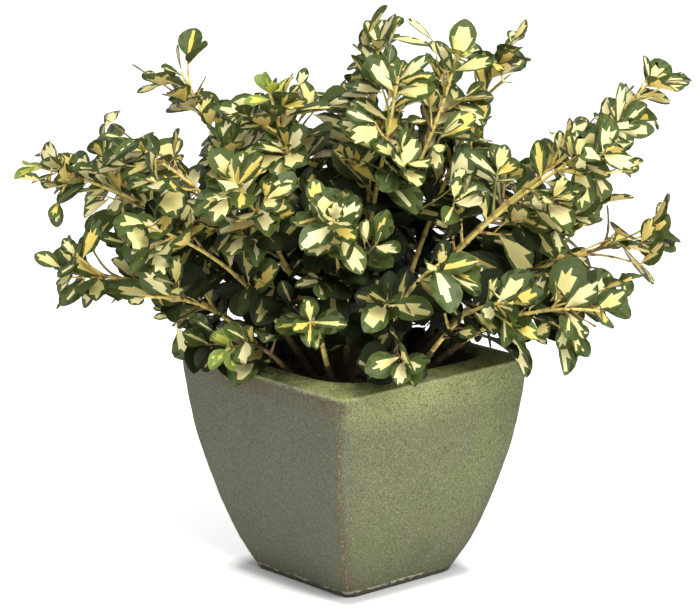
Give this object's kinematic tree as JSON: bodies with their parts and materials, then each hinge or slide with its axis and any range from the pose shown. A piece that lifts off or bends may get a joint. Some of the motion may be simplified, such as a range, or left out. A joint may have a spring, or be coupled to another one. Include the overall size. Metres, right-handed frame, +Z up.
{
  "type": "potted wintercreeper shrub",
  "caption": "Variegated evergreen wintercreeper with arching leafy stems, growing in a square stoneware pot whose curved walls taper to the foot.",
  "frame": {"origin": "middle of the pot's flat underside, on the surface that it stands on", "axes": "+Z up; +X and +Y square to two of the pot's four walls, so that the edge between the walls facing +X and -Y points at the picture's camera"},
  "size_m": [0.6804, 0.6645, 0.6406],
  "materials": {
    "stoneware": "matt speckled stoneware with a green-grey wash",
    "soil": "damp potting mix with fine bark",
    "bark": "dull tan bark",
    "foliage": "satin leaf, dark green with cream and gold"
  },
  "bodies": {
    "root": {"pot": "stoneware", "soil": "soil", "root_crown": "bark", "bough_right_high": "bark", "foliage_right_high": "foliage", "bough_right_upper": "bark", "foliage_right_upper": "foliage", "bough_right_mid": "bark", "foliage_right_mid": "foliage", "bough_right_low": "bark", "foliage_right_low": "foliage", "bough_left_low": "bark", "foliage_left_low": "foliage", "bough_left_under": "bark", "foliage_left_under": "foliage", "bough_left_mid": "bark", "foliage_left_mid": "foliage", "bough_left_upper": "bark", "foliage_left_upper": "foliage", "bough_left_high": "bark", "foliage_left_high": "foliage", "bough_top_left": "bark", "foliage_top_left": "foliage", "bough_top_mid": "bark", "foliage_top_mid": "foliage", "bough_top_front": "bark", "foliage_top_front": "foliage", "bough_top_right": "bark", "foliage_top_right": "foliage", "bough_top_far_right": "bark", "foliage_top_far_right": "foliage", "bough_front_left": "bark", "foliage_front_left": "foliage", "bough_front_upper_left": "bark", "foliage_front_upper_left": "foliage", "bough_front_mid": "bark", "foliage_front_mid": "foliage", "bough_front_right": "bark", "foliage_front_right": "foliage", "bough_right_front": "bark", "foliage_right_front": "foliage", "bough_rim_right": "bark", "foliage_rim_right": "foliage", "bough_rim_left": "bark", "foliage_rim_left": "foliage", "bough_rim_front": "bark", "foliage_rim_front": "foliage", "bough_back_right": "bark", "foliage_back_right": "foliage", "bough_back_right_low": "bark", "foliage_back_right_low": "foliage", "bough_back_mid": "bark", "foliage_back_mid": "foliage", "bough_back_low": "bark", "foliage_back_low": "foliage", "bough_back_left": "bark", "foliage_back_left": "foliage", "bough_back_left_low": "bark", "foliage_back_left_low": "foliage"}
  },
  "joints": []
}
